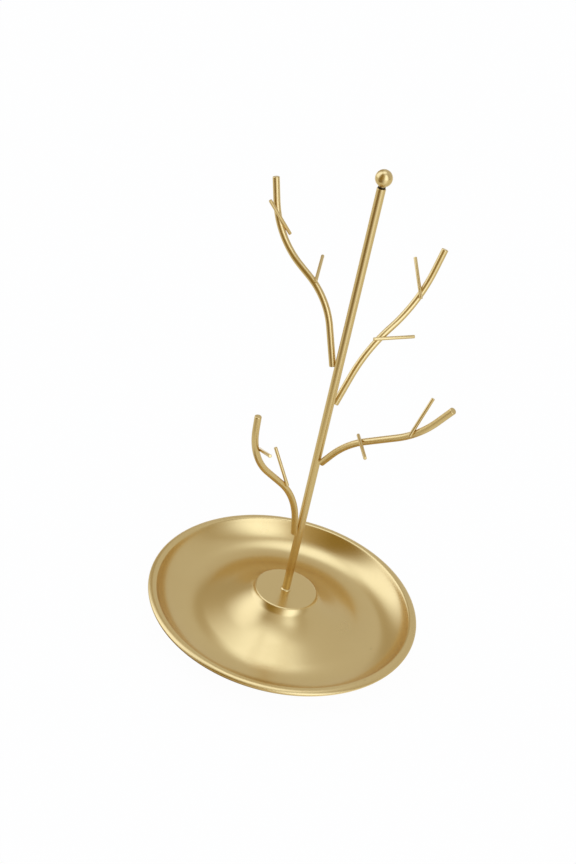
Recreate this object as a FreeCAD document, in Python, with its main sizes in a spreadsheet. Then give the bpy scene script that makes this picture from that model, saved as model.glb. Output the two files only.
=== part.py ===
import FreeCAD, Part
import math
import os
import Sketcher
from FreeCAD import Placement, Rotation, Vector

# A jewelry tree: a spun dish with a raised boss, a foot plate and a round stem on the boss,
# four S-bent branches welded to the stem, two straight twigs across each branch, a ball finial.
# The dish stands on the ground plane and the stem is on the Z axis.

os.makedirs("parts", exist_ok=True)
doc = FreeCAD.newDocument("jewelry_tree")

# Driving sizes in millimetres and degrees
SIZES = {
    # dish
    "dish_radius": 85.0,
    "dish_gauge": 0.8,
    "dish_rise": 15.0,
    "lip_width": 4.8,
    "rim_roll_radius": 1.2,
    "rim_roll_angle": 200.0,
    "lip_bend": 1.5,
    "wall_angle": 66.0,
    "wall_straight": 1.6,
    "trough_width": 31.5,
    # boss in the middle of the dish
    "boss_rise": 20.8,
    "boss_foot_bend": 35.0,
    "shoulder_radius": 31.0,
    "shoulder_rise": 9.2,
    "shoulder_bend": 60.0,
    "neck_radius": 18.6,
    "neck_rise": 2.4,
    "neck_straight": 0.1,
    "boss_edge_bend": 0.5,
    # foot plate and ferrule
    "plate_radius": 19.2,
    "plate_gauge": 0.6,
    "plate_round": 0.25,
    "ferrule_radius": 3.1,
    "ferrule_rise": 1.5,
    "ferrule_chamfer": 0.5,
    # stem
    "stem_radius": 2.5,
    "stem_top": 292.8,
    "stem_chamfer": 0.3,
    "foot_tap_depth": 8.0,
    "head_tap_depth": 7.0,
    # M3 hardware
    "thread_radius": 1.5,
    "thread_gap": 0.05,
    "washer_gap": 0.1,
    "dish_hole_gap": 0.3,
    "screw_run": 8.0,
    "screw_head_radius": 2.8,
    "screw_head_rise": 1.8,
    "screw_head_round": 0.6,
    "recess_width": 0.7,
    "recess_span": 3.2,
    "recess_depth": 1.1,
    "washer_radius": 4.5,
    "washer_gauge": 0.8,
    "lock_washer_radius": 3.1,
    "lock_washer_gauge": 0.8,
    "lock_washer_split": 0.6,
    "lock_washer_split_angle": 20.0,
    "stud_seat": 5.0,
    "stud_reach": 6.4,
    # finial
    "ball_radius": 4.7,
    "ball_neck_radius": 2.1,
    "ball_neck_rise": 1.4,
    # branch and twig wire
    "branch_radius": 2.0,
    "branch_round": 0.5,
    "twig_radius": 1.0,
    "twig_run": 25.0,
    "twig_round": 0.2,
    "weld_bite": 0.35,
    # one overrun for every cut
    "overrun": 1.0,
}

# Each branch: where its root is on the stem, its three straight runs measured corner to corner,
# how steep each run is, and the radius of the two bends between them
BRANCHES = {
    "top_left": {
        "azimuth": 150.0, "root": 182.2,
        "first_run": 39.5, "middle_run": 44.7, "last_run": 34.4,
        "first_angle": 70.5, "middle_angle": 26.0, "last_angle": 74.6,
        "first_bend": 39.6, "last_bend": 46.0,
    },
    "upper_right": {
        "azimuth": 45.0, "root": 158.1,
        "first_run": 36.2, "middle_run": 40.8, "last_run": 34.0,
        "first_angle": 67.1, "middle_angle": 37.8, "last_angle": 72.8,
        "first_bend": 68.9, "last_bend": 66.7,
    },
    "lower_right": {
        "azimuth": 325.0, "root": 120.0,
        "first_run": 25.0, "middle_run": 55.8, "last_run": 29.7,
        "first_angle": 58.1, "middle_angle": 36.0, "last_angle": 57.7,
        "first_bend": 77.2, "last_bend": 84.3,
    },
    "lower_left": {
        "azimuth": 225.0, "root": 66.7,
        "first_run": 30.1, "middle_run": 55.7, "last_run": 28.4,
        "first_angle": 79.2, "middle_angle": 42.9, "last_angle": 87.6,
        "first_bend": 59.7, "last_bend": 47.7,
    },
}

# Each twig: how far along its branch it crosses, as a share of the branch's run, the short end
# that stands past the weld, the side of the branch it lies on, and its turn away from the branch.
# Side 0 is the branch's upper side, and a positive turn leads round the branch to one flank.
TWIGS = {
    "top_left_lower": {"seat_share": 0.440, "tail": 2.6, "side_angle": 7.0, "turn_angle": 59.0},
    "top_left_upper": {"seat_share": 0.757, "tail": 6.7, "side_angle": 15.0, "turn_angle": -32.0},
    "upper_right_lower": {"seat_share": 0.423, "tail": 5.1, "side_angle": 61.0, "turn_angle": 43.0},
    "upper_right_upper": {"seat_share": 0.748, "tail": 4.7, "side_angle": 8.0, "turn_angle": -47.0},
    "lower_right_lower": {"seat_share": 0.344, "tail": 4.6, "side_angle": 33.0, "turn_angle": 51.0},
    "lower_right_upper": {"seat_share": 0.712, "tail": 2.6, "side_angle": 59.0, "turn_angle": -42.0},
    "lower_left_lower": {"seat_share": 0.411, "tail": 1.0, "side_angle": -46.0, "turn_angle": 38.0},
    "lower_left_upper": {"seat_share": 0.775, "tail": 3.0, "side_angle": -13.0, "turn_angle": -57.0},
}


# The sheet that holds every driving size under its name
def fill_sheet():
    sheet = doc.addObject("Spreadsheet::Sheet", "sizes")
    cells = dict(SIZES)
    for group in (BRANCHES, TWIGS):
        for owner, values in group.items():
            for name, value in values.items():
                cells[f"{owner}_{name}"] = value
    for row, (name, value) in enumerate(cells.items(), start=1):
        sheet.set(f"A{row}", name)
        sheet.set(f"B{row}", str(value))
        sheet.setAlias(f"B{row}", name)
    doc.recompute()
    return sheet


sheet = fill_sheet()


def size(name):
    return float(sheet.get(name))


def bind(item, **expressions):
    for name, expression in expressions.items():
        item.setExpression(name, expression)


def place_z(item, expression):
    item.setExpression("Placement.Base.z", expression)


# Holds one point of a sketch at driven distances from the two axes
def hold_point(sketch, label, point, x, y):
    origin = (-1, 1)
    for kind, axis, along, expression in (("DistanceX", -2, "across", x), ("DistanceY", -1, "up", y)):
        if expression == "0":
            sketch.addConstraint(Sketcher.Constraint("PointOnObject", *point, axis))
            continue
        value = sketch.evalExpression(expression)
        index = sketch.addConstraint(Sketcher.Constraint(kind, *origin, *point, value))
        sketch.renameConstraint(index, f"{label}_{along}")
        sketch.setExpression(f"Constraints.{label}_{along}", expression)


# A closed outline with straight sides and one driven point per corner
def closed_outline(sketch, corners):
    places = [Vector(sketch.evalExpression(x), sketch.evalExpression(y), 0) for x, y in corners]
    last = len(places) - 1
    for index, start in enumerate(places):
        end = places[0] if index == last else places[index + 1]
        sketch.addGeometry(Part.LineSegment(start, end), False)
    for index in range(len(places)):
        following = 0 if index == last else index + 1
        sketch.addConstraint(Sketcher.Constraint("Coincident", index, 2, following, 1))
    for index, (x, y) in enumerate(corners):
        hold_point(sketch, f"corner_{index}", (index, 1), x, y)


# An open line through driven corners, with a driven bend at each inner corner
def bent_line(sketch, corners, bends):
    places = [Vector(sketch.evalExpression(x), sketch.evalExpression(y), 0) for x, y in corners]
    for start, end in zip(places, places[1:]):
        sketch.addGeometry(Part.LineSegment(start, end), False)
    for index in range(len(bends)):
        sketch.addConstraint(Sketcher.Constraint("Coincident", index, 2, index + 1, 1))
    handles = [(0, 1)]
    for index, bend in enumerate(bends):
        arc = sketch.GeometryCount
        radius = sketch.evalExpression(bend)
        sketch.fillet(index, 2, radius, True, True)
        handles.append((arc + 1, 1))
        driven = sketch.addConstraint(Sketcher.Constraint("Radius", arc, radius))
        sketch.renameConstraint(driven, f"bend_{index}")
        sketch.setExpression(f"Constraints.bend_{index}", bend)
    handles.append((len(bends), 2))
    for index, (handle, (x, y)) in enumerate(zip(handles, corners)):
        hold_point(sketch, f"corner_{index}", handle, x, y)


def body_sketch(body, name, plane):
    sketch = body.newObject("Sketcher::SketchObject", name)
    support = next(item for item in body.Origin.OriginFeatures if item.Role == plane)
    sketch.AttachmentSupport = (support, [""])
    sketch.MapMode = "FlatFace"
    doc.recompute()
    return sketch


# A body turned about the Z axis from a closed half outline
def turned_body(label, corners):
    body = doc.addObject("PartDesign::Body", f"{label}_body")
    sketch = body_sketch(body, f"{label}_outline", "XZ_Plane")
    closed_outline(sketch, corners)
    turning = body.newObject("PartDesign::Revolution", f"{label}_turning")
    turning.Profile = sketch
    turning.ReferenceAxis = (sketch, ["V_Axis"])
    turning.Angle = 360
    sketch.Visibility = False
    body.Label = label
    doc.recompute()
    return body


# The names of the round edges that lie at one height and have one radius
def ring_edges(shape, height, radius, match_share=0.001):
    names = []
    for index, edge in enumerate(shape.Edges, start=1):
        if not isinstance(edge.Curve, Part.Circle):
            continue
        off_height = abs(edge.Curve.Center.z - height)
        off_radius = abs(edge.Curve.Radius - radius)
        if max(off_height, off_radius) < match_share * radius:
            names.append(f"Edge{index}")
    return names


def round_edges(body, name, edges, radius):
    rounded = body.Tip
    fillet = body.newObject("PartDesign::Fillet", name)
    fillet.Base = (rounded, edges)
    bind(fillet, Radius=radius)
    doc.recompute()


# Where the dish's boss and wall end, and how steep the boss is between its shoulder and its neck
BOSS_FOOT = "(sizes.dish_radius - sizes.trough_width)"
NECK_FOOT = "(sizes.boss_rise - sizes.neck_rise)"
BOSS_ANGLE = f"atan(({NECK_FOOT} - sizes.shoulder_rise) / (sizes.shoulder_radius - sizes.neck_radius))"
WALL_TOP = "(sizes.dish_radius - sizes.lip_width)"
WALL_RISE = "(sizes.dish_rise - sizes.dish_gauge)"


# The dish: one bent line from the screw hole to the rim, thickened and turned.
# The bends at the neck and at the wall's foot use up their runs but for a short straight.
def make_dish():
    corners = [
        ("sizes.thread_radius + sizes.dish_hole_gap", "sizes.boss_rise"),
        ("sizes.neck_radius", "sizes.boss_rise"),
        ("sizes.neck_radius", NECK_FOOT),
        ("sizes.shoulder_radius", "sizes.shoulder_rise"),
        (BOSS_FOOT, "sizes.dish_gauge"),
        (f"{WALL_TOP} - {WALL_RISE} / tan(sizes.wall_angle)", "sizes.dish_gauge"),
        (WALL_TOP, "sizes.dish_rise"),
        ("sizes.dish_radius - sizes.rim_roll_radius", "sizes.dish_rise"),
    ]
    neck_run = "sizes.neck_rise - sizes.boss_edge_bend - sizes.neck_straight"
    wall_run = f"{WALL_RISE} / sin(sizes.wall_angle) - sizes.wall_straight"
    bends = [
        "sizes.boss_edge_bend",
        f"({neck_run}) / tan((90 deg - {BOSS_ANGLE}) / 2)",
        "sizes.shoulder_bend",
        "sizes.boss_foot_bend",
        f"({wall_run}) / tan(sizes.wall_angle / 2) - sizes.lip_bend",
        "sizes.lip_bend",
    ]
    profile = doc.addObject("Sketcher::SketchObject", "dish_profile")
    profile.Placement = Placement(Vector(), Rotation(Vector(1, 0, 0), 90))
    bent_line(profile, corners, bends)
    roll_rim(profile, len(bends))
    band = doc.addObject("Part::Offset2D", "dish_band")
    band.Source = profile
    band.Mode = "Skin"
    band.Join = "Arc"
    band.Fill = True
    bind(band, Value="-sizes.dish_gauge")
    dish = doc.addObject("Part::Revolution", "dish")
    dish.Source = band
    dish.Axis = Vector(0, 0, 1)
    dish.Angle = 360
    dish.Solid = True
    dish.Label = "dish"
    return dish


# The rolled rim: one arc that leaves the lip smoothly and curls under it
def roll_rim(profile, lip_line):
    lip_end = profile.getPoint(lip_line, 2)
    radius = size("rim_roll_radius")
    centre = lip_end - Vector(0, radius, 0)
    top = math.radians(90)
    sweep = math.radians(size("rim_roll_angle"))
    circle = Part.Circle(centre, Vector(0, 0, 1), radius)
    roll = profile.addGeometry(Part.ArcOfCircle(circle, top - sweep, top), False)
    profile.addConstraint(Sketcher.Constraint("Tangent", lip_line, 2, roll, 2))
    driven = profile.addConstraint(Sketcher.Constraint("Radius", roll, radius))
    profile.renameConstraint(driven, "roll_radius")
    profile.setExpression("Constraints.roll_radius", "sizes.rim_roll_radius")
    driven = profile.addConstraint(Sketcher.Constraint("Angle", roll, sweep))
    profile.renameConstraint(driven, "roll_sweep")
    profile.setExpression("Constraints.roll_sweep", "sizes.rim_roll_angle * 1 deg")


# The round plate that spreads the stem's foot over the boss
def make_foot_plate():
    base = "sizes.boss_rise"
    top = "sizes.boss_rise + sizes.plate_gauge"
    body = turned_body("foot_plate", [
        ("sizes.stem_radius", base),
        ("sizes.plate_radius", base),
        ("sizes.plate_radius", top),
        ("sizes.stem_radius", top),
    ])
    edges = ring_edges(body.Shape, size("boss_rise") + size("plate_gauge"), size("plate_radius"))
    round_edges(body, "plate_edge", edges, "sizes.plate_round")
    return body


# The small chamfered ring round the stem where it stands on the plate
def make_foot_ferrule():
    base = "sizes.boss_rise + sizes.plate_gauge"
    return turned_body("foot_ferrule", [
        ("sizes.stem_radius", base),
        ("sizes.ferrule_radius", base),
        ("sizes.ferrule_radius", f"{base} + sizes.ferrule_rise - sizes.ferrule_chamfer"),
        ("sizes.ferrule_radius - sizes.ferrule_chamfer", f"{base} + sizes.ferrule_rise"),
        ("sizes.stem_radius", f"{base} + sizes.ferrule_rise"),
    ])


# The stem: a rod from the boss to under the finial, tapped at both ends
def make_stem():
    tap = "sizes.thread_radius + sizes.thread_gap"
    return turned_body("stem", [
        (tap, "sizes.boss_rise"),
        ("sizes.stem_radius", "sizes.boss_rise"),
        ("sizes.stem_radius", "sizes.stem_top - sizes.stem_chamfer"),
        ("sizes.stem_radius - sizes.stem_chamfer", "sizes.stem_top"),
        (tap, "sizes.stem_top"),
        (tap, "sizes.stem_top - sizes.head_tap_depth"),
        ("0", "sizes.stem_top - sizes.head_tap_depth"),
        ("0", "sizes.boss_rise + sizes.foot_tap_depth"),
        (tap, "sizes.boss_rise + sizes.foot_tap_depth"),
    ])


# The finial: a ball and its neck, bored from below for the stud
def make_finial_ball():
    ball = doc.addObject("Part::Sphere", "ball")
    bind(ball, Radius="sizes.ball_radius")
    rise = "sqrt(sizes.ball_radius ^ 2 - sizes.ball_neck_radius ^ 2)"
    place_z(ball, f"sizes.stem_top + sizes.ball_neck_rise + {rise}")
    neck = doc.addObject("Part::Cylinder", "ball_neck")
    bind(neck, Radius="sizes.ball_neck_radius", Height=f"sizes.ball_neck_rise + {rise}")
    place_z(neck, "sizes.stem_top")
    turned = doc.addObject("Part::Fuse", "ball_on_neck")
    turned.Base = ball
    turned.Tool = neck
    bore = doc.addObject("Part::Cylinder", "ball_bore")
    bind(
        bore,
        Radius="sizes.thread_radius + sizes.thread_gap",
        Height="sizes.stud_reach + sizes.thread_gap + sizes.overrun",
    )
    place_z(bore, "sizes.stem_top - sizes.overrun")
    finial = doc.addObject("Part::Cut", "finial_ball")
    finial.Base = turned
    finial.Tool = bore
    finial.Label = "finial_ball"
    return finial


def make_finial_stud():
    return turned_body("finial_stud", [
        ("0", "sizes.stem_top - sizes.stud_seat"),
        ("sizes.thread_radius", "sizes.stem_top - sizes.stud_seat"),
        ("sizes.thread_radius", "sizes.stem_top + sizes.stud_reach"),
        ("0", "sizes.stem_top + sizes.stud_reach"),
    ])


# Heights of the clamped stack under the boss, from the dish's sheet downwards
UNDER_BOSS = "sizes.boss_rise - sizes.dish_gauge"
UNDER_WASHER = f"{UNDER_BOSS} - sizes.washer_gauge"
UNDER_LOCK = f"{UNDER_WASHER} - sizes.lock_washer_gauge"


def make_base_washer():
    return turned_body("base_washer", [
        ("sizes.thread_radius + sizes.washer_gap", UNDER_WASHER),
        ("sizes.washer_radius", UNDER_WASHER),
        ("sizes.washer_radius", UNDER_BOSS),
        ("sizes.thread_radius + sizes.washer_gap", UNDER_BOSS),
    ])


# The spring washer: a ring with a slanted split
def make_lock_washer():
    ring = turned_body("lock_ring", [
        ("sizes.thread_radius + sizes.washer_gap", UNDER_LOCK),
        ("sizes.lock_washer_radius", UNDER_LOCK),
        ("sizes.lock_washer_radius", UNDER_WASHER),
        ("sizes.thread_radius + sizes.washer_gap", UNDER_WASHER),
    ])
    split = doc.addObject("Part::Box", "lock_split")
    bind(
        split,
        Length="sizes.lock_washer_radius + sizes.overrun",
        Width="sizes.lock_washer_split",
        Height="sizes.lock_washer_gauge + 2 * sizes.overrun",
    )
    split.Placement = Placement(Vector(), Rotation(Vector(1, 0, 0), size("lock_washer_split_angle")))
    place_z(split, f"{UNDER_LOCK} - sizes.overrun")
    washer = doc.addObject("Part::Cut", "lock_washer")
    washer.Base = ring
    washer.Tool = split
    washer.Label = "lock_washer"
    return washer


# The pan-head screw with its cross recess, driven from under the dish
def make_base_screw():
    blank = turned_body("screw_blank", [
        ("0", f"{UNDER_LOCK} - sizes.screw_head_rise"),
        ("sizes.screw_head_radius", f"{UNDER_LOCK} - sizes.screw_head_rise"),
        ("sizes.screw_head_radius", UNDER_LOCK),
        ("sizes.thread_radius", UNDER_LOCK),
        ("sizes.thread_radius", f"{UNDER_LOCK} + sizes.screw_run"),
        ("0", f"{UNDER_LOCK} + sizes.screw_run"),
    ])
    head_face = blank.evalExpression(f"{UNDER_LOCK} - sizes.screw_head_rise")
    edges = ring_edges(blank.Shape, head_face, size("screw_head_radius"))
    round_edges(blank, "head_round", edges, "sizes.screw_head_round")
    slots = []
    for name, length, width in (("long", "span", "width"), ("cross", "width", "span")):
        slot = doc.addObject("Part::Box", f"recess_{name}")
        bind(
            slot,
            Length=f"sizes.recess_{length}",
            Width=f"sizes.recess_{width}",
            Height="sizes.recess_depth + sizes.overrun",
        )
        slot.setExpression("Placement.Base.x", f"-sizes.recess_{length} / 2")
        slot.setExpression("Placement.Base.y", f"-sizes.recess_{width} / 2")
        place_z(slot, f"{UNDER_LOCK} - sizes.screw_head_rise - sizes.overrun")
        slots.append(slot)
    recess = doc.addObject("Part::MultiFuse", "recess")
    recess.Shapes = slots
    screw = doc.addObject("Part::Cut", "base_screw")
    screw.Base = blank
    screw.Tool = recess
    screw.Label = "base_screw"
    return screw


# A branch: a rod bent twice in one upright plane, its root cut to fit round the stem
def make_branch(name, stem):
    body = doc.addObject("PartDesign::Body", f"{name}_rod")
    spine = body_sketch(body, f"{name}_spine", "XZ_Plane")
    across = (
        "sizes.stem_radius - sizes.weld_bite"
        f" + sizes.branch_radius * sin(sizes.{name}_first_angle)"
    )
    up = f"sizes.{name}_root"
    corners = [(across, up)]
    for run in ("first", "middle", "last"):
        across += f" + sizes.{name}_{run}_run * cos(sizes.{name}_{run}_angle)"
        up += f" + sizes.{name}_{run}_run * sin(sizes.{name}_{run}_angle)"
        corners.append((across, up))
    bent_line(spine, corners, [f"sizes.{name}_first_bend", f"sizes.{name}_last_bend"])
    doc.recompute()
    circle = body.newObject("Sketcher::SketchObject", f"{name}_section")
    circle.AttachmentSupport = [(spine, "Edge1")]
    circle.MapMode = "NormalToEdge"
    ring = circle.addGeometry(Part.Circle(Vector(), Vector(0, 0, 1), size("branch_radius")), False)
    circle.addConstraint(Sketcher.Constraint("Coincident", ring, 3, -1, 1))
    circle.addConstraint(Sketcher.Constraint("Radius", ring, size("branch_radius")))
    circle.renameConstraint(1, "wire")
    circle.setExpression("Constraints.wire", "sizes.branch_radius")
    doc.recompute()
    pipe = body.newObject("PartDesign::AdditivePipe", f"{name}_pipe")
    pipe.Profile = circle
    pipe.Spine = (spine, [f"Edge{index + 1}" for index in range(len(spine.Shape.Edges))])
    doc.recompute()
    round_edges(body, f"{name}_tip", [tip_edge(pipe.Shape)], "sizes.branch_round")
    body.Placement = Placement(Vector(), Rotation(Vector(0, 0, 1), size(f"{name}_azimuth")))
    branch = doc.addObject("Part::Cut", f"branch_{name}")
    branch.Base = body
    branch.Tool = stem
    branch.Label = f"branch_{name}"
    doc.recompute()
    return branch, spine


# The round edge that closes a rod at its upper end
def tip_edge(shape):
    ends = [face for face in shape.Faces if isinstance(face.Surface, Part.Plane)]
    tip = max(ends, key=lambda face: face.CenterOfMass.z)
    for index, edge in enumerate(shape.Edges, start=1):
        if edge.isSame(tip.Edges[0]):
            return f"Edge{index}"
    raise ValueError("the rod has no round end edge")


# Where a branch is, and which way it runs, at a share of its length from the root
def branch_at(spine, share, azimuth, steps=400):
    line = Part.Wire(Part.sortEdges(spine.Shape.Edges)[0])
    places = line.discretize(Number=steps + 1)
    if places[0].z > places[-1].z:
        places.reverse()
    seat = min(int(share * steps), steps - 1)
    turn = Rotation(Vector(0, 0, 1), azimuth)
    along = turn.multVec(places[seat + 1] - places[seat]).normalize()
    return turn.multVec(places[seat]), along


# A twig: a straight wire laid across its branch and let into it by the weld's bite
def make_twig(name, branch_name, branch, spine):
    body = doc.addObject("PartDesign::Body", f"{name}_wire")
    section = body_sketch(body, f"{name}_section", "XY_Plane")
    ring = section.addGeometry(Part.Circle(Vector(), Vector(0, 0, 1), size("twig_radius")), False)
    section.addConstraint(Sketcher.Constraint("Coincident", ring, 3, -1, 1))
    section.addConstraint(Sketcher.Constraint("Radius", ring, size("twig_radius")))
    section.renameConstraint(1, "wire")
    section.setExpression("Constraints.wire", "sizes.twig_radius")
    pad = body.newObject("PartDesign::Pad", f"{name}_pad")
    pad.Profile = section
    pad.setExpression("Length", "sizes.twig_run")
    doc.recompute()
    edges = ring_edges(pad.Shape, 0, size("twig_radius"))
    edges += ring_edges(pad.Shape, size("twig_run"), size("twig_radius"))
    round_edges(body, f"{name}_ends", edges, "sizes.twig_round")
    body.Placement = twig_placement(name, branch_name, spine)
    twig = doc.addObject("Part::Cut", f"twig_{name}")
    twig.Base = body
    twig.Tool = branch
    twig.Label = f"twig_{name}"
    return twig


def twig_placement(name, branch_name, spine):
    azimuth = size(f"{branch_name}_azimuth")
    seat, along = branch_at(spine, size(f"{name}_seat_share"), azimuth)
    flank = Rotation(Vector(0, 0, 1), azimuth).multVec(Vector(0, 1, 0))
    upper = along.cross(flank)
    upper = upper if upper.z > 0 else -upper
    lift = Rotation(along, size(f"{name}_side_angle")).multVec(upper)
    heading = Rotation(lift, -size(f"{name}_turn_angle")).multVec(along)
    reach = size("branch_radius") + size("twig_radius") - size("weld_bite")
    root = seat + lift * reach - heading * size(f"{name}_tail")
    return Placement(root, Rotation(Vector(0, 0, 1), heading))


def build():
    stem = make_stem()
    pieces = [
        make_dish(),
        make_foot_plate(),
        make_foot_ferrule(),
        stem,
        make_finial_ball(),
        make_finial_stud(),
        make_base_washer(),
        make_lock_washer(),
        make_base_screw(),
    ]
    for branch_name in BRANCHES:
        branch, spine = make_branch(branch_name, stem)
        pieces.append(branch)
        for level in ("lower", "upper"):
            pieces.append(make_twig(f"{branch_name}_{level}", branch_name, branch, spine))
    doc.recompute()
    return pieces


def write_pieces(pieces):
    for item in doc.Objects:
        if "Invalid" in item.State or "Error" in item.State:
            raise RuntimeError(f"{item.Name} did not build: {item.State}")
    for piece in pieces:
        shape = piece.Shape
        if shape.isNull() or not shape.isValid() or len(shape.Solids) != 1:
            raise RuntimeError(f"{piece.Label} is not one sound solid")
        shape.exportStep(f"parts/{piece.Label}.step")
        print(f"{piece.Label}: {shape.Volume:.1f} mm3")


write_pieces(build())
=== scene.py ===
import math
import bmesh
import bpy
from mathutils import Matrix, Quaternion, Vector


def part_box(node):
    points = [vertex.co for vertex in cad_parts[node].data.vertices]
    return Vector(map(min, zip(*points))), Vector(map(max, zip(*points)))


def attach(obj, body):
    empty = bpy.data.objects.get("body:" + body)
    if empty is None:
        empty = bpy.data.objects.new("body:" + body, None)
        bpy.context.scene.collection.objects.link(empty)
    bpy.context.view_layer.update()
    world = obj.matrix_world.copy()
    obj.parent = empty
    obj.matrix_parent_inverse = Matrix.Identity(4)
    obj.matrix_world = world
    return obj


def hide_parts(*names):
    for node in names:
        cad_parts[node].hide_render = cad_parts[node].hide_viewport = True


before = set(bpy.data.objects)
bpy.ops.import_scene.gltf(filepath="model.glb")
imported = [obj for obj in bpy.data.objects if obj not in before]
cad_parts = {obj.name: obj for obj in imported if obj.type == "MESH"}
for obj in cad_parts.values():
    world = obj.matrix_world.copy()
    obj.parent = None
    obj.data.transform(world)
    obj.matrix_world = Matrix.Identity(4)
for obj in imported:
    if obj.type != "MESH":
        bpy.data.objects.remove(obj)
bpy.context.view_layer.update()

scene = bpy.context.scene
scene.view_settings.view_transform = "Standard"
mm = 0.001

# Camera: a steep view from the front with the horizon tilted
cameraView = {
    "place": (0.0, -685.272 * mm, 568.018 * mm),
    "turn": (57.026, -10.587, 8.459),  # degrees about x, y and z
    "lens": 58.333,
    "sensor": 36.0,  # along the upright side of the picture
    "nearest": 10.0 * mm,
}


def addCamera(view):
    turn = [math.radians(angle) for angle in view["turn"]]
    bpy.ops.object.camera_add(location=view["place"], rotation=turn)
    camera = bpy.context.object
    camera.data.sensor_fit = "VERTICAL"
    camera.data.sensor_height = view["sensor"]
    camera.data.lens = view["lens"]
    camera.data.clip_start = view["nearest"]
    scene.camera = camera


addCamera(cameraView)
print("camera placed")


# Shader sums: a socket that can be added to and multiplied
class Socket:
    def __init__(self, finish, out):
        self.finish = finish
        self.out = out

    # Another output of the same node
    def beside(self, name):
        return Socket(self.finish, self.out.node.outputs[name])

    def __add__(self, other):
        return self.finish.maths("ADD", self, other)

    def __mul__(self, other):
        return self.finish.maths("MULTIPLY", self, other)


# Which sockets of a mix node are the ones for colours: they share their names with others
colourMix = {"share": 0, "first": 6, "second": 7, "result": 2}


# One material or world, and the nodes in it
class Finish:
    def __init__(self, owner):
        self.owner = owner
        owner.use_nodes = True
        self.tree = owner.node_tree

    def node(self, kind, settings=None, sockets=None, output=0):
        made = self.tree.nodes.new(kind)
        for name, value in (settings or {}).items():
            setattr(made, name, value)
        for name, value in (sockets or {}).items():
            self.feed(made.inputs[name], value)
        return Socket(self, made.outputs[output])

    def feed(self, place, value):
        if isinstance(value, Socket):
            self.tree.links.new(value.out, place)
        else:
            place.default_value = value

    def maths(self, operation, first, second):
        return self.node("ShaderNodeMath", {"operation": operation}, {0: first, 1: second})

    def noise(self, place, scale, detail=2.0):
        sockets = {"Vector": place, "Scale": scale, "Detail": detail}
        return self.node("ShaderNodeTexNoise", {}, sockets)

    def vectorMaths(self, operation, sockets, output="Value"):
        return self.node("ShaderNodeVectorMath", {"operation": operation}, sockets, output)

    # The first colour where the share is 0, and the second where it is 1
    def mix(self, share, first, second):
        sockets = {
            colourMix["share"]: share,
            colourMix["first"]: first,
            colourMix["second"]: second,
        }
        return self.node("ShaderNodeMix", {"data_type": "RGBA"}, sockets, colourMix["result"])

    # Changes softly from one colour to another as a value goes between two edges
    def blend(self, value, edges, first, second):
        share = self.node(
            "ShaderNodeMapRange",
            {"interpolation_type": "SMOOTHSTEP"},
            {"Value": value, "From Min": edges[0], "From Max": edges[1]},
        )
        return self.mix(share, first, second)

    # A row of colours, each at its mark between 0 and 1
    def ramp(self, value, marks):
        made = self.node("ShaderNodeValToRGB", {}, {"Fac": value})
        stops = made.out.node.color_ramp.elements
        for mark, colour in marks[1:-1]:
            stops.new(mark).color = colour
        stops[0].color = marks[0][1]
        stops[-1].color = marks[-1][1]
        return made

    def shader(self, sockets):
        for name, value in sockets.items():
            self.feed(self.tree.nodes["Principled BSDF"].inputs[name], value)

    # Bare metal whose roughness drifts by the look's spread, with a fine relief
    def metal(self, look, colour, drift, relief):
        bump = self.node("ShaderNodeBump", {}, {"Height": relief, "Distance": look["reliefDepth"]})
        smoothest = look["roughness"] - look["roughnessSpread"] / 2
        self.shader({
            "Base Color": colour,
            "Metallic": 1.0,
            "Roughness": drift * look["roughnessSpread"] + smoothest,
            "Normal": bump,
        })
        return self.owner


satinGold = {
    "pale": (0.785, 0.595, 0.265, 1),
    "deep": (0.745, 0.555, 0.235, 1),
    "toneScale": 38.0,
    "toneDetail": 3.0,
    "roughness": 0.26,
    "roughnessSpread": 0.06,
    "grainScale": 1500.0,
    "ringScale": 1900.0,
    "ringDetail": 1.0,
    "ringShare": 0.55,
    "reliefDepth": 0.0004 * mm,
    "pitScale": 95.0,
    "pitSize": 0.055,
    "pitShare": 0.3,
    "pitColour": (0.12, 0.07, 0.03, 1),
    "pittedScale": 21.0,
    "pittedLevel": 0.62,
    # painted shade: a near-black colour laid over the ball's neck, where the gap above the stem's
    # head is in shadow
    "gapShade": (0.020, 0.012, 0.006, 1),
    "gapShadeShare": 0.95,
    "gapShadeRise": 1.2 * mm,  # how far the painted shade under the ball reaches up from the stem's head
}


# Plated metal with a soft sheen: drifting tone, fine grain and a few tiny pits. A spun piece has
# fine rings round its middle too. Below a given height, painted shade makes it nearly black.
def makeGold(name, look, spun, shadeBelow=None):
    finish = Finish(bpy.data.materials.new(name))
    place = finish.node("ShaderNodeTexCoord", output="Object")
    drift = finish.noise(place, look["toneScale"], look["toneDetail"])
    grain = finish.noise(place, look["grainScale"])
    if spun:
        flat = finish.vectorMaths("MULTIPLY", {0: place, 1: (1, 1, 0)}, "Vector")
        away = finish.vectorMaths("LENGTH", {0: flat})
        rings = finish.node(
            "ShaderNodeTexNoise",
            {"noise_dimensions": "1D"},
            {"W": away, "Scale": look["ringScale"], "Detail": look["ringDetail"]},
        )
        grain = grain * (1 - look["ringShare"]) + rings * look["ringShare"]
    cells = finish.node(
        "ShaderNodeTexVoronoi", {"feature": "F1"}, {"Vector": place, "Scale": look["pitScale"]}
    )
    patches = finish.noise(place, look["pittedScale"])
    pitted = finish.maths("GREATER_THAN", patches, look["pittedLevel"])
    pit = finish.maths("LESS_THAN", cells, look["pitSize"]) * pitted
    tone = finish.mix(drift, look["pale"], look["deep"])
    colour = finish.mix(pit * look["pitShare"], tone, look["pitColour"])
    # Painted shade: below the height the colour turns nearly black, standing in for the shadow in
    # the gap under the ball
    if shadeBelow:
        height = finish.node("ShaderNodeSeparateXYZ", {}, {"Vector": place}, "Z")
        sunk = finish.maths("LESS_THAN", height, shadeBelow)
        colour = finish.mix(sunk * look["gapShadeShare"], colour, look["gapShade"])
    return finish.metal(look, colour, drift, grain)


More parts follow.
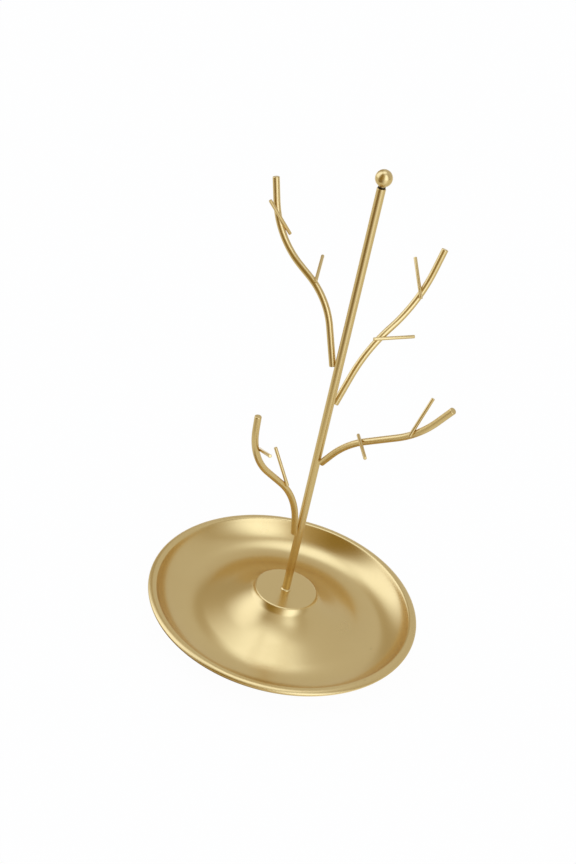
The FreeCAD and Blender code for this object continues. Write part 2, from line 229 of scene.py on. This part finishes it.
zincSteel = {
    "colour": (0.60, 0.61, 0.62, 1),
    "dull": (0.44, 0.45, 0.47, 1),
    "bloomScale": 420.0,
    "bloomDetail": 4.0,
    "roughness": 0.3,
    "roughnessSpread": 0.2,
    "scratchScale": 2600.0,
    "reliefDepth": 0.004 * mm,
}


# Zinc-plated steel with a cloudy bloom and fine scratches
def makeSteel(name, look):
    finish = Finish(bpy.data.materials.new(name))
    place = finish.node("ShaderNodeTexCoord", output="Object")
    bloom = finish.noise(place, look["bloomScale"], look["bloomDetail"])
    tone = finish.mix(bloom, look["colour"], look["dull"])
    return finish.metal(look, tone, bloom, finish.noise(place, look["scratchScale"]))


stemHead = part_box("stem")[1][2]
spunGold = makeGold("spunGold", satinGold, spun=True)
wireGold = makeGold("wireGold", satinGold, spun=False)
# The ball gets painted shade on its neck, just above the stem's head
ballGold = makeGold("ballGold", satinGold, spun=False, shadeBelow=stemHead + satinGold["gapShadeRise"])
hardware = makeSteel("zincSteel", zincSteel)
print("finishes made")

weldGap = 0.001 * mm  # corners nearer to each other than this are one


def clearSelection():
    bpy.ops.object.select_all(action="DESELECT")


def applyTransform():
    bpy.ops.object.transform_apply(location=True, rotation=True, scale=True)


# In edit mode, selects only the faces that pass the test
def selectFaces(piece, test):
    bpy.ops.mesh.select_mode(type="FACE")
    bpy.ops.mesh.select_all(action="DESELECT")
    for face in bmesh.from_edit_mesh(piece.data).faces:
        face.select_set(test(face))
    bmesh.update_edit_mesh(piece.data)


# In edit mode, rounds the edges round the selected faces
def roundLoops(size, segments):
    bpy.ops.mesh.region_to_loop()
    bpy.ops.mesh.bevel(offset=size, segments=segments, profile=0.5, affect="EDGES")


def weldCorners():
    bpy.ops.mesh.select_all(action="SELECT")
    bpy.ops.mesh.remove_doubles(threshold=weldGap)


def closeEnds():
    bpy.ops.mesh.select_all(action="SELECT")
    bpy.ops.mesh.fill_holes(sides=0)


def faceOutward():
    bpy.ops.mesh.select_all(action="SELECT")
    bpy.ops.mesh.normals_make_consistent(inside=False)


# The way that points so many degrees up from level, in the upright plane through the axis
def pointing(degrees):
    angle = math.radians(degrees)
    return Vector((math.cos(angle), 0, math.sin(angle)))


# A line drawn bit by bit in the upright plane through the axis: straight runs are extruded and
# bends are spun. With a section it draws a rod, without one a bare wire to be turned.
class Wire:
    def __init__(self, name, across, up, heading=0.0, section=0.0, sides=48):
        clearSelection()
        self.place = Vector((across, 0, up))
        self.heading = heading
        self.legs = []
        if section:
            tilt = (0, math.radians(90 - heading), 0)
            bpy.ops.mesh.primitive_circle_add(
                vertices=sides, radius=section, location=self.place, rotation=tilt
            )
        else:
            bpy.ops.mesh.primitive_plane_add(size=mm, location=self.place)
        self.piece = bpy.context.object
        self.piece.name = name
        applyTransform()
        bpy.ops.object.mode_set(mode="EDIT")
        bpy.ops.mesh.select_mode(type="VERT")
        bpy.ops.mesh.select_all(action="SELECT")
        if not section:
            bpy.ops.mesh.merge(type="CENTER")

    def turn(self, degrees):
        self.heading += degrees

    # A straight run, with close rings at its ends where it has a margin, which keep it looking flat
    def run(self, length, margin=0.0):
        stretches = [margin, length - 2 * margin, margin] if margin else [length]
        for stretch in stretches:
            step = pointing(self.heading) * stretch
            bpy.ops.mesh.extrude_region_move(TRANSFORM_OT_translate={"value": step})
            self.place = self.place + step
        self.legs.append((length, 0.0))

    # A bend to the left, or to the right where the degrees are negative
    def bend(self, radius, degrees, steps):
        side = 1 if degrees > 0 else -1
        centre = self.place + pointing(self.heading + 90) * radius * side
        bpy.ops.mesh.spin(steps=steps, angle=math.radians(degrees), center=centre, axis=(0, 1, 0))
        self.heading += degrees
        self.place = centre - pointing(self.heading + 90) * radius * side
        self.legs.append((radius * math.radians(abs(degrees)), degrees))

    # A right-angled corner cut off aslant, to the left, or to the right where the side is -1
    def corner(self, cut, side=1):
        self.turn(45 * side)
        self.run(cut * math.sqrt(2))
        self.turn(45 * side)

    # Turns the line right round the axis
    def spinRound(self, steps):
        bpy.ops.mesh.select_all(action="SELECT")
        bpy.ops.mesh.spin(steps=steps, angle=math.tau, center=(0, 0, 0), axis=(0, 0, 1))
        weldCorners()
        faceOutward()

    # Ends the work: smooth shading, finish, and the body that carries the piece
    def done(self, node, body, finish):
        bpy.ops.object.mode_set(mode="OBJECT")
        finishPiece(self.piece, node, body, finish)


def finishPiece(piece, node, body, finish, sharp=35.0):
    clearSelection()
    bpy.context.view_layer.objects.active = piece
    piece.select_set(True)
    bpy.ops.object.shade_smooth_by_angle(angle=math.radians(sharp))
    piece.data.materials.clear()
    piece.data.materials.append(finish)
    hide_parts(node)
    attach(piece, body)


def applyModifier(piece, kind, **settings):
    bpy.context.view_layer.objects.active = piece
    modifier = piece.modifiers.new(kind.title(), kind)
    for name, value in settings.items():
        setattr(modifier, name, value)
    bpy.ops.object.modifier_apply(modifier=modifier.name)


# What a bend between two runs takes off the length of each
def bendLength(radius, degrees):
    return radius * math.tan(math.radians(abs(degrees)) / 2)


# Dish: one spun sheet with a raised boss, a bowl-like wall, a flat lip and a rolled rim
dish = {
    "gauge": 0.8 * mm,
    "hole": 1.8 * mm,
    "bossEdge": 0.15 * mm,
    "neckRadius": 18.7 * mm,
    "neckRise": 2.5 * mm,
    "neckSlope": 70.0,
    "neckStraight": 0.1 * mm,
    "shoulder": (31.0 * mm, 9.8 * mm),  # how far out and how high it lies
    "shoulderBend": 60.0 * mm,
    "troughWidth": 31.5 * mm,
    "bossFoot": 30.0 * mm,
    "rimRise": 15.0 * mm,
    "wallAngle": 64.0,
    "wallStraight": 1.6 * mm,
    "lipWidth": 4.9 * mm,
    "lipBend": 1.8 * mm,
    "crownRadius": 3.9 * mm,
    "crownAngle": 40.0,
    "rollRadius": 1.3 * mm,
    "rollAngle": 150.0,
    "margin": 0.3 * mm,
    "steps": {
        "edge": 6, "neck": 18, "shoulder": 14, "foot": 14,
        "wall": 30, "lip": 10, "crown": 12, "roll": 20,
    },
    "around": 256,
}


def makeDish(made):
    low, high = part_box("dish")
    radius, bossTop = high[0], high[2]
    floorLevel = low[2] + made["gauge"]
    margin, steps = made["margin"], made["steps"]

    # Boss: a steep neck, a slope down to the shoulder and a flatter one down to the floor
    shoulderRadius, shoulderHeight = made["shoulder"]
    bossRadius = radius - made["troughWidth"]
    neckSlope = math.radians(made["neckSlope"])
    upperRun = shoulderRadius - made["neckRadius"] - made["neckRise"] / math.tan(neckSlope)
    upperDrop = bossTop - made["neckRise"] - shoulderHeight
    upperAngle = math.degrees(math.atan2(upperDrop, upperRun))
    lowerRun = bossRadius - shoulderRadius
    lowerDrop = shoulderHeight - floorLevel
    lowerAngle = math.degrees(math.atan2(lowerDrop, lowerRun))
    edgeLength = bendLength(made["bossEdge"], made["neckSlope"])
    neckLength = made["neckRise"] / math.sin(neckSlope) - edgeLength - made["neckStraight"]
    neckTurn = made["neckSlope"] - upperAngle
    neckBend = neckLength / math.tan(math.radians(neckTurn) / 2)
    shoulderTurn = upperAngle - lowerAngle
    shoulderLength = bendLength(made["shoulderBend"], shoulderTurn)
    footLength = bendLength(made["bossFoot"], lowerAngle)

    # Wall and lip: a long bend up from the floor, and a short one back into the lip
    wall = math.radians(made["wallAngle"])
    wallRise = made["rimRise"] - floorLevel
    wallFoot = radius - made["lipWidth"] - wallRise / math.tan(wall)
    wallLength = wallRise / math.sin(wall) - made["wallStraight"]
    wallBend = wallLength / math.tan(wall / 2) - made["lipBend"]
    crown = math.sin(math.radians(made["crownAngle"]))
    rimReach = made["crownRadius"] * crown + made["rollRadius"] * (1 - crown)

    wire = Wire("spunDish", made["hole"], bossTop)
    wire.run(made["neckRadius"] - made["hole"] - edgeLength, margin)
    wire.bend(made["bossEdge"], -made["neckSlope"], steps["edge"])
    wire.run(made["neckStraight"])
    wire.bend(neckBend, neckTurn, steps["neck"])
    wire.run(math.hypot(upperRun, upperDrop) - neckLength - shoulderLength)
    wire.bend(made["shoulderBend"], shoulderTurn, steps["shoulder"])
    wire.run(math.hypot(lowerRun, lowerDrop) - shoulderLength - footLength)
    wire.bend(made["bossFoot"], lowerAngle, steps["foot"])
    wire.run(wallFoot - bossRadius - footLength - bendLength(wallBend, made["wallAngle"]), margin)
    wire.bend(wallBend, made["wallAngle"], steps["wall"])
    wire.run(made["wallStraight"])
    wire.bend(made["lipBend"], -made["wallAngle"], steps["lip"])
    wire.run(made["lipWidth"] - bendLength(made["lipBend"], made["wallAngle"]) - rimReach, margin)
    wire.bend(made["crownRadius"], -made["crownAngle"], steps["crown"])
    wire.bend(made["rollRadius"], -made["rollAngle"], steps["roll"])
    wire.spinRound(made["around"])

    # The sheet is still open, so it is made to face up before it gets its gauge
    faces = bmesh.from_edit_mesh(wire.piece.data).faces
    flatFloor = min(faces, key=lambda face: abs(face.calc_center_median().xy.length - wallFoot))
    if flatFloor.normal.z < 0:
        bpy.ops.mesh.flip_normals()
    bpy.ops.object.mode_set(mode="OBJECT")
    applyModifier(wire.piece, "SOLIDIFY", thickness=made["gauge"], offset=-1)
    finishPiece(wire.piece, "dish", "base", spunGold)


makeDish(dish)
print("dish spun")

# Radii of the three rods, and how deep a rod bites into the one that it is welded to
rod = {"stem": 2.5 * mm, "branch": 2.0 * mm, "twig": 1.0 * mm, "bite": 0.35 * mm}

# Foot plate: a turned disc with a broad shallow bevel round its top
footPlate = {
    "radius": 19.2 * mm,
    "undercut": 0.18 * mm,
    "outerEdge": 0.06 * mm,
    "bevel": 0.62 * mm,
    "slope": 28.0,
    "innerEdge": 0.3 * mm,
    "margin": 0.3 * mm,
    "outerSteps": 5,
    "innerSteps": 4,
    "around": 192,
}


def makeFootPlate(made):
    low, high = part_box("foot_plate")
    gauge = high[2] - low[2]
    slope = math.radians(made["slope"])
    outer, bevel, inner = made["outerEdge"], made["bevel"], made["innerEdge"]
    bevelRise = outer * math.cos(slope) + bevel * math.sin(slope) + inner * (1 - math.cos(slope))
    bevelWidth = outer * (1 - math.sin(slope)) + bevel * math.cos(slope) + inner * math.sin(slope)
    wire = Wire("turnedFootPlate", rod["stem"], low[2])
    wire.run(made["radius"] - rod["stem"] - made["undercut"], made["margin"])
    wire.corner(made["undercut"])
    wire.run(gauge - made["undercut"] - bevelRise)
    wire.bend(outer, 90 - made["slope"], made["outerSteps"])
    wire.run(bevel)
    wire.bend(inner, made["slope"], made["innerSteps"])
    wire.run(made["radius"] - bevelWidth - rod["stem"], made["margin"])
    wire.turn(90)
    wire.run(gauge)
    wire.spinRound(made["around"])
    wire.done("foot_plate", "tree", spunGold)


makeFootPlate(footPlate)

# Ring at the stem's foot: a low cone that leans on the stem
ferrule = {
    "radius": 3.3 * mm, "foot": 0.2 * mm, "margin": 0.08 * mm, "edge": 0.45 * mm, "edgeSteps": 4,
    "lean": 60.0, "around": 96,
}


def makeFerrule(made):
    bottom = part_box("foot_ferrule")[0][2]
    width = made["radius"] - rod["stem"]
    lean = math.radians(made["lean"])
    wire = Wire("footRing", rod["stem"], bottom)
    wire.run(width)
    wire.turn(90)
    wire.run(made["foot"], made["margin"])
    wire.bend(made["edge"], made["lean"], made["edgeSteps"])
    wire.run((width - made["edge"] * (1 - math.cos(lean))) / math.sin(lean))
    wire.heading = -90
    wire.run(wire.place.z - bottom)
    wire.spinRound(made["around"])
    wire.done("foot_ferrule", "tree", wireGold)


makeFerrule(ferrule)

# Stem: a rod with a soft edge at its head, bored at both ends
stem = {
    "bore": 1.55 * mm, "footBore": 8.0 * mm, "headBore": 7.0 * mm, "headEdge": 0.38 * mm,
    "headSteps": 8, "margin": 0.3 * mm, "around": 96,
}


def makeStem(made):
    low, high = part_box("stem")
    radius = rod["stem"]
    wire = Wire("stemRod", 0, low[2] + made["footBore"])
    wire.run(made["bore"])
    wire.turn(-90)
    wire.run(made["footBore"])
    wire.turn(90)
    wire.run(radius - made["bore"])
    wire.turn(90)
    wire.run(high[2] - low[2] - made["headEdge"], made["margin"])
    wire.bend(made["headEdge"], 90, made["headSteps"])
    wire.run(radius - made["headEdge"] - made["bore"])
    wire.turn(90)
    wire.run(made["headBore"])
    wire.turn(-90)
    wire.run(made["bore"])
    wire.spinRound(made["around"])
    wire.done("stem", "tree", wireGold)


makeStem(stem)
print("foot and stem turned")

# Finial: a ball on a short neck, bored from below
finial = {
    "ball": 4.7 * mm, "neck": 2.1 * mm, "neckRise": 1.4 * mm, "bore": 1.55 * mm, "depth": 6.45 * mm,
    "edge": 0.15 * mm, "edgeSteps": 3, "ballSteps": 48, "around": 96,
}


def makeFinial(made):
    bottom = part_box("finial_ball")[0][2]
    sunk = math.degrees(math.asin(made["neck"] / made["ball"]))
    wire = Wire("finialBall", 0, bottom + made["depth"])
    wire.run(made["bore"])
    wire.turn(-90)
    wire.run(made["depth"])
    wire.turn(90)
    wire.run(made["neck"] - made["bore"] - made["edge"])
    wire.bend(made["edge"], 90, made["edgeSteps"])
    wire.run(made["neckRise"] - made["edge"])
    wire.heading = sunk
    wire.bend(made["ball"], 180 - sunk, made["ballSteps"])
    wire.spinRound(made["around"])
    wire.done("finial_ball", "ball", ballGold)


makeFinial(finial)

# Branches: each a rod with two bends in one upright plane. Lengths are in millimetres, and the
# heading is in degrees round the stem from the right.
branches = {
    "top_left": {
        "heading": 150.0, "root": 182.2, "runs": (39.5, 44.7, 34.4),
        "slopes": (70.5, 26.0, 74.6), "bends": (39.6, 46.0),
    },
    "upper_right": {
        "heading": 45.0, "root": 158.1, "runs": (36.2, 40.8, 34.0),
        "slopes": (67.1, 37.8, 72.8), "bends": (68.9, 66.7),
    },
    "lower_right": {
        "heading": 325.0, "root": 120.0, "runs": (25.0, 55.8, 29.7),
        "slopes": (58.1, 36.0, 57.7), "bends": (77.2, 84.3),
    },
    "lower_left": {
        "heading": 225.0, "root": 66.7, "runs": (30.1, 55.7, 28.4),
        "slopes": (79.2, 42.9, 87.6), "bends": (59.7, 47.7),
    },
}
branchRod = {
    "bendSteps": 28, "margin": 0.4 * mm, "tipMargin": 0.8 * mm,
    "tipRound": 0.5 * mm, "rootRound": 0.12 * mm, "roundSegments": 6, "endReach": 0.05 * mm,
}


# Draws the branch and returns its wire, still in edit mode, and where it starts
def drawBranch(name, made):
    first, middle, last = made["slopes"]
    rise = rod["branch"] * math.sin(math.radians(first))
    start = (rod["stem"] - rod["bite"] + rise, made["root"] * mm)
    bendOne, bendTwo = (bend * mm for bend in made["bends"])
    cutOne = bendLength(bendOne, first - middle)
    cutTwo = bendLength(bendTwo, last - middle)
    runOne, runTwo, runThree = (run * mm for run in made["runs"])
    wire = Wire(f"rod_{name}", *start, heading=first, section=rod["branch"])
    wire.run(runOne - cutOne, branchRod["margin"])
    wire.bend(bendOne, middle - first, branchRod["bendSteps"])
    wire.run(runTwo - cutOne - cutTwo, branchRod["margin"])
    wire.bend(bendTwo, last - middle, branchRod["bendSteps"])
    wire.run(runThree - cutTwo, branchRod["tipMargin"])
    return wire, start


# Where a rod's middle line is, and which way it runs, at a share of its whole length
def alongRod(wire, start, heading, share):
    left = share * sum(length for length, degrees in wire.legs)
    place = Vector((start[0], 0, start[1]))
    for length, degrees in wire.legs:
        part = min(left, length)
        swing = math.radians(degrees) * part / length
        angle = math.radians(heading)
        if degrees:
            radius = length / math.radians(degrees)
            place = place + radius * Vector((
                math.sin(angle + swing) - math.sin(angle),
                0,
                math.cos(angle) - math.cos(angle + swing),
            ))
        else:
            place = place + part * pointing(heading)
        heading += math.degrees(swing)
        left -= part
        if left <= 0:
            break
    return place, pointing(heading)


def makeBranch(name, made):
    wire, start = drawBranch(name, made)
    closeEnds()
    tip, root = wire.place, Vector((start[0], 0, start[1]))
    for end, size in ((tip, branchRod["tipRound"]), (root, branchRod["rootRound"])):
        selectFaces(
            wire.piece,
            lambda face: (face.calc_center_median() - end).length < branchRod["endReach"],
        )
        roundLoops(size, branchRod["roundSegments"])
    faceOutward()
    bpy.ops.object.mode_set(mode="OBJECT")
    wire.piece.rotation_euler.z = math.radians(made["heading"])
    clearSelection()
    wire.piece.select_set(True)
    applyTransform()
    finishPiece(wire.piece, f"branch_{name}", "tree", wireGold)
    return wire, start


# Twigs: straight wires laid across the branches. The share says where along the branch a twig
# lies, the tail how many millimetres of it stand out behind, the side where round the branch it
# lies, from the upper side, and the turn how far it points away from the branch.
twigs = {
    "top_left_lower": {"seatShare": 0.440, "tail": 2.6, "side": 7.0, "turn": 59.0},
    "top_left_upper": {"seatShare": 0.757, "tail": 6.7, "side": 15.0, "turn": -32.0},
    "upper_right_lower": {"seatShare": 0.423, "tail": 5.1, "side": 61.0, "turn": 43.0},
    "upper_right_upper": {"seatShare": 0.748, "tail": 4.7, "side": 8.0, "turn": -47.0},
    "lower_right_lower": {"seatShare": 0.344, "tail": 4.6, "side": 33.0, "turn": 51.0},
    "lower_right_upper": {"seatShare": 0.712, "tail": 2.6, "side": 59.0, "turn": -42.0},
    "lower_left_lower": {"seatShare": 0.411, "tail": 1.0, "side": -46.0, "turn": 38.0},
    "lower_left_upper": {"seatShare": 0.775, "tail": 3.0, "side": -13.0, "turn": -57.0},
}
twigWire = {"length": 25.0 * mm, "sides": 32, "endRound": 0.25 * mm, "roundSegments": 5}


def turned(vector, axis, degrees):
    return Quaternion(axis, math.radians(degrees)) @ vector


def makeTwig(name, branch, wire, start, made):
    place, along = alongRod(wire, start, branch["slopes"][0], made["seatShare"])
    upright = Vector((0, 0, 1))
    seat = turned(place, upright, branch["heading"])
    along = turned(along, upright, branch["heading"])
    flank = turned(Vector((0, 1, 0)), upright, branch["heading"])
    upper = along.cross(flank)
    if upper.z < 0:
        upper = -upper
    lift = turned(upper, along, made["side"])
    ahead = turned(along, lift, -made["turn"])
    reach = rod["branch"] + rod["twig"] - rod["bite"]
    middle = seat + lift * reach + ahead * (twigWire["length"] / 2 - made["tail"] * mm)
    clearSelection()
    bpy.ops.mesh.primitive_cylinder_add(
        vertices=twigWire["sides"],
        radius=rod["twig"],
        depth=twigWire["length"],
        end_fill_type="NGON",
        location=middle,
        rotation=ahead.to_track_quat("Z", "Y").to_euler(),
    )
    piece = bpy.context.object
    piece.name = f"wire_{name}"
    applyTransform()
    bpy.ops.object.mode_set(mode="EDIT")
    selectFaces(piece, lambda face: len(face.verts) == twigWire["sides"])
    roundLoops(twigWire["endRound"], twigWire["roundSegments"])
    bpy.ops.object.mode_set(mode="OBJECT")
    finishPiece(piece, f"twig_{name}", "tree", wireGold)


for branchName, branch in branches.items():
    wire, start = makeBranch(branchName, branch)
    for level in ("lower", "upper"):
        twigName = f"{branchName}_{level}"
        makeTwig(twigName, branch, wire, start, twigs[twigName])
print("branches bent and twigs laid")

# Thread of the screw and the stud, which hold the tree and the ball
thread = {
    "radius": 1.5 * mm,
    "core": 1.26 * mm,
    "pitch": 0.5 * mm,
    "sunk": 0.06 * mm,  # how deep the ridge's foot lies in the core
    "halfFoot": 0.42,  # half the width of the ridge's foot, as a share of the pitch
    "steps": 40,
}


# A closed helical ridge on the shank between two heights
def addThread(shank, bottom, top, made):
    reach = made["radius"] - made["core"] + made["sunk"]
    halfFoot = made["pitch"] * made["halfFoot"]
    flank = math.hypot(halfFoot, reach)
    wire = Wire("ridge", made["core"] - made["sunk"], bottom)
    wire.heading = math.degrees(math.atan2(halfFoot, reach))
    wire.run(flank)
    wire.heading = 180 - wire.heading
    wire.run(flank)
    wire.heading = -90
    wire.run(2 * halfFoot)
    weldCorners()
    bpy.ops.object.mode_set(mode="OBJECT")
    turns = int((top - bottom) / made["pitch"]) - 1
    applyModifier(
        wire.piece, "SCREW", axis="Z", angle=math.tau, screw_offset=made["pitch"], iterations=turns,
        steps=made["steps"], render_steps=made["steps"], use_merge_vertices=True,
    )
    bpy.ops.object.mode_set(mode="EDIT")
    closeEnds()
    faceOutward()
    bpy.ops.object.mode_set(mode="OBJECT")
    clearSelection()
    wire.piece.select_set(True)
    shank.select_set(True)
    bpy.context.view_layer.objects.active = shank
    bpy.ops.object.join()


stud = {"cut": 0.2 * mm, "plainEnd": 0.3 * mm, "around": 64}


def makeStud(made):
    low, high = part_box("finial_stud")
    bottom, top = low[2], high[2]
    wire = Wire("finialStud", 0, bottom)
    wire.run(thread["core"] - made["cut"])
    wire.corner(made["cut"])
    wire.run(top - bottom - 2 * made["cut"])
    wire.corner(made["cut"])
    wire.run(thread["core"] - made["cut"])
    wire.spinRound(made["around"])
    bpy.ops.object.mode_set(mode="OBJECT")
    addThread(wire.piece, bottom + made["plainEnd"], top - made["plainEnd"], thread)
    finishPiece(wire.piece, "finial_stud", "stud", hardware)


makeStud(stud)

washer = {"gap": 0.1 * mm, "edge": 0.1 * mm, "edgeSteps": 3, "around": 96}


def makeWasher(made):
    low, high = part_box("base_washer")
    inner = thread["radius"] + made["gap"]
    width, gauge = high[0] - inner, high[2] - low[2]
    wire = Wire("flatWasher", inner, low[2])
    wire.run(width - made["edge"])
    wire.bend(made["edge"], 90, made["edgeSteps"])
    wire.run(gauge - 2 * made["edge"])
    wire.bend(made["edge"], 90, made["edgeSteps"])
    wire.run(width - made["edge"])
    wire.turn(90)
    wire.run(gauge)
    wire.spinRound(made["around"])
    wire.done("base_washer", "washers", hardware)


makeWasher(washer)

lockWasher = {"gap": 0.1 * mm, "split": 11.0, "around": 72}


# The spring washer is turned only part of the way, which leaves its split open
def makeLockWasher(made):
    low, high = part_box("lock_washer")
    inner = thread["radius"] + made["gap"]
    wire = Wire("springWasher", inner, low[2])
    for side in 2 * (high[1] - inner, high[2] - low[2]):
        wire.run(side)
        wire.turn(90)
    weldCorners()
    turn = -math.radians(360 - made["split"])
    bpy.ops.mesh.spin(steps=made["around"], angle=turn, center=(0, 0, 0), axis=(0, 0, 1))
    closeEnds()
    faceOutward()
    wire.done("lock_washer", "washers", hardware)


makeLockWasher(lockWasher)

# Screw: a pan head with a cross recess
screw = {
    "cut": 0.2 * mm,
    "headRadius": 2.8 * mm,
    "headRise": 1.8 * mm,
    "headRound": 0.6 * mm,
    "headSteps": 8,
    "margin": 0.1 * mm,
    "recessWidth": 0.7 * mm,
    "recessSpan": 3.2 * mm,
    "recessDepth": 1.1 * mm,
    "plainNeck": 0.2 * mm,
    "plainTip": 0.25 * mm,
    "around": 64,
    "sharp": 30.0,
}


def makeScrew(made):
    low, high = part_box("base_screw")
    bottom, top = low[2], high[2]
    neck = bottom + made["headRise"]
    wire = Wire("panScrew", 0, top)
    wire.run(thread["core"] - made["cut"])
    wire.corner(made["cut"], -1)
    wire.run(top - made["cut"] - neck)
    wire.turn(90)
    wire.run(made["headRadius"] - thread["core"])
    wire.turn(-90)
    wire.run(made["headRise"] - made["headRound"], made["margin"])
    wire.bend(made["headRound"], -90, made["headSteps"])
    wire.run(made["headRadius"] - made["headRound"])
    wire.spinRound(made["around"])
    bpy.ops.object.mode_set(mode="OBJECT")
    arms = []
    for span, width in (("recessSpan", "recessWidth"), ("recessWidth", "recessSpan")):
        clearSelection()
        bpy.ops.mesh.primitive_cube_add(size=1, location=(0, 0, bottom))
        arm = bpy.context.object
        arm.scale = (made[span], made[width], 2 * made["recessDepth"])
        applyTransform()
        arms.append(arm)
    for arm in arms:
        applyModifier(wire.piece, "BOOLEAN", operation="DIFFERENCE", object=arm, solver="EXACT")
        bpy.data.objects.remove(arm)
    addThread(wire.piece, neck + made["plainNeck"], top - made["plainTip"], thread)
    finishPiece(wire.piece, "base_screw", "screw", hardware, made["sharp"])


makeScrew(screw)
print("fasteners threaded")

# Studio: a pale floor in a soft tent. Going round the table, the tent's wall has a white panel on
# the left, a dark gap at the front left, a lamp behind cloth at the front right and plain cloth
# elsewhere, duller in three places. Its roof is plain too, with a pale patch above.
white = (1, 1, 1, 1)
black = (0, 0, 0, 1)
tent = {
    "cloth": (0.625, 0.625, 0.650, 1),
    "shade": (0.47, 0.42, 0.33, 1),
    "dusk": (0.48, 0.39, 0.22, 1),
    "gap": (0.29, 0.20, 0.04, 1),
    "panel": (1.33, 1.48, 1.92, 1),
    "lamp": (1.52, 1.73, 2.28, 1),
    # degrees round the table from the right, and the stuff there
    "wall": (
        (-180, "panel"), (-168, "panel"), (-154, "cloth"), (-143, "gap"), (-118, "gap"),
        (-98, "dusk"), (-88, "dusk"), (-65, "lamp"), (-43, "lamp"), (-24, "cloth"), (-8, "shade"),
        (8, "cloth"), (102, "cloth"), (114, "shade"), (132, "shade"), (158, "panel"), (180, "panel"),
    ),
    "roofStart": 58.0,
    "roofEnd": 70.0,
    "patchAzimuth": 122.0,
    "patchElevation": 81.5,
    "patchInner": 9.0,
    "patchOuter": 26.0,
    "patch": (1.36, 1.53, 1.98, 1),
    "clothShare": 0.8,  # of what is seen in a second reflection
    "secondBounce": 2.5,  # a ray with more bounces behind it shows a second reflection
}
floorLook = {
    "size": 12.0,
    "colour": (0.86, 0.86, 0.86, 1),
    "gap": 0.05 * mm,
    "whiteShare": 0.975,
    "grainScale": 3.0,
    "roughness": 0.8,
    "roughnessSpread": 0.1,
    "plain": (0.70, 0.69, 0.64, 1),
    "bright": (1.02, 1.08, 1.25, 1),
    "shaded": (0.22, 0.145, 0.04, 1),
    # distances from the stem in metres: the light is plain between the two pairs
    "underDish": (0.10, 0.13),
    "farOut": (0.19, 0.40),
    # degrees round the table from the right, and the light that lies there
    "light": (
        (-180, "plain"), (-164, "plain"), (-146, "shaded"), (-106, "shaded"), (-64, "bright"),
        (-50, "bright"), (-24, "plain"), (36, "plain"), (80, "bright"), (112, "bright"),
        (146, "plain"), (180, "plain"),
    ),
}


# Colour that changes with the direction from the middle of the table
def ringColour(finish, place, look, stops):
    east = finish.node("ShaderNodeSeparateXYZ", {}, {"Vector": place}, "X")
    turn = finish.maths("ARCTAN2", east.beside("Y"), east)
    marks = [(angle / 360 + 0.5, look[name]) for angle, name in stops]
    return finish.ramp(turn * (1 / math.tau) + 0.5, marks)


# The camera sees the floor nearly white, and the metal sees it with the tent's light on it
def addFloor(made):
    clearSelection()
    bpy.ops.mesh.primitive_plane_add(size=made["size"], location=(0, 0, -made["gap"]))
    bpy.ops.object.transform_apply(location=True, rotation=False, scale=False)
    floor = bpy.context.object
    floor.name = "paleFloor"
    finish = Finish(bpy.data.materials.new("paleFloor"))
    seen = finish.node("ShaderNodeLightPath", output="Is Camera Ray")
    shine = seen.beside("Is Glossy Ray")
    glow = finish.node("ShaderNodeEmission", {}, {"Color": white, "Strength": 1.0})
    place = finish.node("ShaderNodeTexCoord", output="Object")
    grain = finish.noise(place, made["grainScale"])
    ring = ringColour(finish, place, made, made["light"])
    reach = finish.vectorMaths("LENGTH", {0: place})
    close = finish.blend(reach, made["underDish"], ring, made["plain"])
    light = finish.blend(reach, made["farOut"], close, ring)
    finish.shader({
        "Base Color": finish.mix(shine, made["colour"], black),
        "Emission Color": finish.mix(shine, black, light),
        "Emission Strength": 1.0,
        "Roughness": grain * made["roughnessSpread"] + made["roughness"],
    })
    lit = Socket(finish, finish.tree.nodes["Principled BSDF"].outputs["BSDF"])
    mixed = finish.node("ShaderNodeMixShader", {}, {0: seen * made["whiteShare"], 1: lit, 2: glow})
    finish.feed(finish.tree.nodes["Material Output"].inputs["Surface"], mixed)
    finish.owner.cycles.emission_sampling = "NONE"
    floor.data.materials.append(finish.owner)


# White where the camera looks, and the tent where light and shine come from. What one part of the
# metal shows of another part's shine is mostly plain cloth.
def addTent(made):
    scene.world = bpy.data.worlds.new("softTent")
    finish = Finish(scene.world)
    way = finish.node("ShaderNodeTexCoord", output="Generated")
    wall = ringColour(finish, way, made, made["wall"])
    height = finish.node("ShaderNodeSeparateXYZ", {}, {"Vector": way}, "Z")
    roofEdges = [math.sin(math.radians(made[edge])) for edge in ("roofStart", "roofEnd")]
    roof = finish.blend(height, roofEdges, wall, made["cloth"])
    azimuth, elevation = math.radians(made["patchAzimuth"]), math.radians(made["patchElevation"])
    middle = (
        math.cos(azimuth) * math.cos(elevation),
        math.sin(azimuth) * math.cos(elevation),
        math.sin(elevation),
    )
    nearness = finish.vectorMaths("DOT_PRODUCT", {0: way, 1: middle})
    patchEdges = [math.cos(math.radians(made[edge])) for edge in ("patchOuter", "patchInner")]
    lit = finish.blend(nearness, patchEdges, roof, made["patch"])
    seen = finish.node("ShaderNodeLightPath", output="Is Camera Ray")
    again = finish.maths("GREATER_THAN", seen.beside("Ray Depth"), made["secondBounce"])
    plain = finish.mix(made["clothShare"], roof, made["cloth"])
    soft = finish.mix(again, lit, plain)
    finish.feed(finish.tree.nodes["Background"].inputs["Color"], finish.mix(seen, soft, white))


addFloor(floorLook)
addTent(tent)
print("studio lit")
